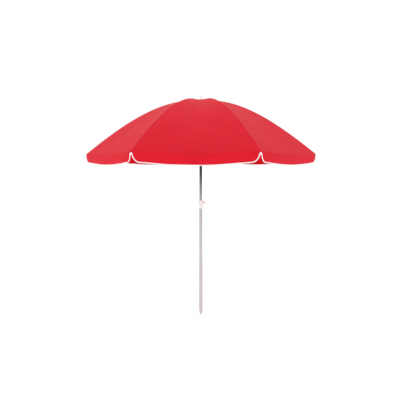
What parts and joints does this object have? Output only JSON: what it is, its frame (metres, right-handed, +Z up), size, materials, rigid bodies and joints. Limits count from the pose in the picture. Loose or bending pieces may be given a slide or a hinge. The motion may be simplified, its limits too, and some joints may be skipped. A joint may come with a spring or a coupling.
{
  "type": "beach umbrella",
  "caption": "Folding beach umbrella with a domed fabric canopy, slit valance, ribs with struts and a runner, and a two-piece pole with a screw collar.",
  "frame": {"origin": "bottom of the pole, on the pole's axis", "axes": "+Z up along the pole; -Y is the front, where a panel faces the viewer; +X is the side the thumb screw points to"},
  "size_m": [1.6794, 1.6794, 1.888],
  "materials": {
    "canopy_cloth": "matt woven polyester",
    "binding_tape": "matt woven tape",
    "dark_steel": "gloss",
    "light_steel": "satin",
    "rib_steel": "satin",
    "zinc_steel": "satin",
    "brass": "satin",
    "white_plastic": "gloss",
    "grey_plastic": "satin"
  },
  "bodies": {
    "lower_pole_body": {"lower_pole": "light_steel", "pole_tip": "light_steel", "locking_collar": "white_plastic", "collar_nut": "brass"},
    "clamp_shoe_body": {"clamp_shoe": "white_plastic"},
    "thumb_screw_body": {"screw_stud": "zinc_steel", "screw_knob": "white_plastic"},
    "upper_pole_body": {"upper_pole": "dark_steel", "pole_guide": "white_plastic", "crown_hub": "white_plastic", "crown_pins": "zinc_steel", "top_spindle": "zinc_steel", "top_washer": "white_plastic", "finial": "white_plastic"},
    "runner_body": {"runner": "white_plastic", "runner_bush": "grey_plastic"},
    "rib_1_body": {"rib_1": "rib_steel", "rib_tip_1": "white_plastic", "rib_bracket_1": "grey_plastic", "canopy_gore_1": "canopy_cloth", "valance_binding_1": "binding_tape"},
    "strut_1_body": {"strut_1": "rib_steel"},
    "rib_2_body": {"rib_2": "rib_steel", "rib_tip_2": "white_plastic", "rib_bracket_2": "grey_plastic", "canopy_gore_2": "canopy_cloth", "valance_binding_2": "binding_tape"},
    "strut_2_body": {"strut_2": "rib_steel"},
    "rib_3_body": {"rib_3": "rib_steel", "rib_tip_3": "white_plastic", "rib_bracket_3": "grey_plastic", "canopy_gore_3": "canopy_cloth", "valance_binding_3": "binding_tape"},
    "strut_3_body": {"strut_3": "rib_steel"},
    "rib_4_body": {"rib_4": "rib_steel", "rib_tip_4": "white_plastic", "rib_bracket_4": "grey_plastic", "canopy_gore_4": "canopy_cloth", "valance_binding_4": "binding_tape"},
    "strut_4_body": {"strut_4": "rib_steel"},
    "rib_5_body": {"rib_5": "rib_steel", "rib_tip_5": "white_plastic", "rib_bracket_5": "grey_plastic", "canopy_gore_5": "canopy_cloth", "valance_binding_5": "binding_tape"},
    "strut_5_body": {"strut_5": "rib_steel"},
    "rib_6_body": {"rib_6": "rib_steel", "rib_tip_6": "white_plastic", "rib_bracket_6": "grey_plastic", "canopy_gore_6": "canopy_cloth", "valance_binding_6": "binding_tape"},
    "strut_6_body": {"strut_6": "rib_steel"},
    "rib_7_body": {"rib_7": "rib_steel", "rib_tip_7": "white_plastic", "rib_bracket_7": "grey_plastic", "canopy_gore_7": "canopy_cloth", "valance_binding_7": "binding_tape"},
    "strut_7_body": {"strut_7": "rib_steel"},
    "rib_8_body": {"rib_8": "rib_steel", "rib_tip_8": "white_plastic", "rib_bracket_8": "grey_plastic", "canopy_gore_8": "canopy_cloth", "valance_binding_8": "binding_tape"},
    "strut_8_body": {"strut_8": "rib_steel"}
  },
  "joints": [
    {"name": "pole_slide", "type": "slide", "parent": "lower_pole_body", "child": "upper_pole_body", "axis": [0, 0, 1], "range_m": [-0.1, 0.25]},
    {"name": "shoe_slide", "type": "slide", "parent": "lower_pole_body", "child": "clamp_shoe_body", "axis": [1, 0, 0], "range_m": [0, 0.0022]},
    {"name": "thumb_screw", "type": "hinge", "parent": "clamp_shoe_body", "child": "thumb_screw_body", "pos_m": [0.03, 0, 0.96], "axis": [1, 0, 0], "range_deg": [0, 540]},
    {"name": "rib_fold_1", "type": "hinge", "parent": "upper_pole_body", "child": "rib_1_body", "pos_m": [0.02033, 0.00842, 1.82874], "axis": [-0.3827, 0.9239, 0], "range_deg": [0, 60], "deforming": ["canopy_gore_1", "valance_binding_1"]},
    {"name": "strut_fold_1", "type": "hinge", "parent": "rib_1_body", "child": "strut_1_body", "pos_m": [0.32796, 0.13584, 1.73851], "axis": [-0.3827, 0.9239, 0], "range_deg": [-120, 0]},
    {"name": "rib_fold_2", "type": "hinge", "parent": "upper_pole_body", "child": "rib_2_body", "pos_m": [0.00842, 0.02033, 1.82874], "axis": [-0.9239, 0.3827, 0], "range_deg": [0, 60], "deforming": ["canopy_gore_2", "valance_binding_2"]},
    {"name": "strut_fold_2", "type": "hinge", "parent": "rib_2_body", "child": "strut_2_body", "pos_m": [0.13584, 0.32796, 1.73851], "axis": [-0.9239, 0.3827, 0], "range_deg": [-120, 0]},
    {"name": "rib_fold_3", "type": "hinge", "parent": "upper_pole_body", "child": "rib_3_body", "pos_m": [-0.00842, 0.02033, 1.82874], "axis": [-0.9239, -0.3827, 0], "range_deg": [0, 60], "deforming": ["canopy_gore_3", "valance_binding_3"]},
    {"name": "strut_fold_3", "type": "hinge", "parent": "rib_3_body", "child": "strut_3_body", "pos_m": [-0.13584, 0.32796, 1.73851], "axis": [-0.9239, -0.3827, 0], "range_deg": [-120, 0]},
    {"name": "rib_fold_4", "type": "hinge", "parent": "upper_pole_body", "child": "rib_4_body", "pos_m": [-0.02033, 0.00842, 1.82874], "axis": [-0.3827, -0.9239, 0], "range_deg": [0, 60], "deforming": ["canopy_gore_4", "valance_binding_4"]},
    {"name": "strut_fold_4", "type": "hinge", "parent": "rib_4_body", "child": "strut_4_body", "pos_m": [-0.32796, 0.13584, 1.73851], "axis": [-0.3827, -0.9239, 0], "range_deg": [-120, 0]},
    {"name": "rib_fold_5", "type": "hinge", "parent": "upper_pole_body", "child": "rib_5_body", "pos_m": [-0.02033, -0.00842, 1.82874], "axis": [0.3827, -0.9239, 0], "range_deg": [0, 60], "deforming": ["canopy_gore_5", "valance_binding_5"]},
    {"name": "strut_fold_5", "type": "hinge", "parent": "rib_5_body", "child": "strut_5_body", "pos_m": [-0.32796, -0.13584, 1.73851], "axis": [0.3827, -0.9239, 0], "range_deg": [-120, 0]},
    {"name": "rib_fold_6", "type": "hinge", "parent": "upper_pole_body", "child": "rib_6_body", "pos_m": [-0.00842, -0.02033, 1.82874], "axis": [0.9239, -0.3827, 0], "range_deg": [0, 60], "deforming": ["canopy_gore_6", "valance_binding_6"]},
    {"name": "strut_fold_6", "type": "hinge", "parent": "rib_6_body", "child": "strut_6_body", "pos_m": [-0.13584, -0.32796, 1.73851], "axis": [0.9239, -0.3827, 0], "range_deg": [-120, 0]},
    {"name": "rib_fold_7", "type": "hinge", "parent": "upper_pole_body", "child": "rib_7_body", "pos_m": [0.00842, -0.02033, 1.82874], "axis": [0.9239, 0.3827, 0], "range_deg": [0, 60], "deforming": ["canopy_gore_7", "valance_binding_7"]},
    {"name": "strut_fold_7", "type": "hinge", "parent": "rib_7_body", "child": "strut_7_body", "pos_m": [0.13584, -0.32796, 1.73851], "axis": [0.9239, 0.3827, 0], "range_deg": [-120, 0]},
    {"name": "rib_fold_8", "type": "hinge", "parent": "upper_pole_body", "child": "rib_8_body", "pos_m": [0.02033, -0.00842, 1.82874], "axis": [0.3827, 0.9239, 0], "range_deg": [0, 60], "deforming": ["canopy_gore_8", "valance_binding_8"]},
    {"name": "strut_fold_8", "type": "hinge", "parent": "rib_8_body", "child": "strut_8_body", "pos_m": [0.32796, -0.13584, 1.73851], "axis": [0.3827, 0.9239, 0], "range_deg": [-120, 0]},
    {"name": "runner_slide", "type": "slide", "parent": "upper_pole_body", "child": "runner_body", "axis": [0, 0, -1], "range_m": [0, 0.48652]}
  ],
  "couplings": [
    {"joint": "shoe_slide", "follows": "thumb_screw", "m_per_rad": 0.00019894},
    {"joint": "strut_fold_1", "follows": "rib_fold_1", "ratio": -2},
    {"joint": "rib_fold_2", "follows": "rib_fold_1", "ratio": 1},
    {"joint": "strut_fold_2", "follows": "rib_fold_1", "ratio": -2},
    {"joint": "rib_fold_3", "follows": "rib_fold_1", "ratio": 1},
    {"joint": "strut_fold_3", "follows": "rib_fold_1", "ratio": -2},
    {"joint": "rib_fold_4", "follows": "rib_fold_1", "ratio": 1},
    {"joint": "strut_fold_4", "follows": "rib_fold_1", "ratio": -2},
    {"joint": "rib_fold_5", "follows": "rib_fold_1", "ratio": 1},
    {"joint": "strut_fold_5", "follows": "rib_fold_1", "ratio": -2},
    {"joint": "rib_fold_6", "follows": "rib_fold_1", "ratio": 1},
    {"joint": "strut_fold_6", "follows": "rib_fold_1", "ratio": -2},
    {"joint": "rib_fold_7", "follows": "rib_fold_1", "ratio": 1},
    {"joint": "strut_fold_7", "follows": "rib_fold_1", "ratio": -2},
    {"joint": "rib_fold_8", "follows": "rib_fold_1", "ratio": 1},
    {"joint": "strut_fold_8", "follows": "rib_fold_1", "ratio": -2},
    {"joint": "runner_slide", "follows": "rib_fold_1", "m_per_rad": 0.46459}
  ]
}
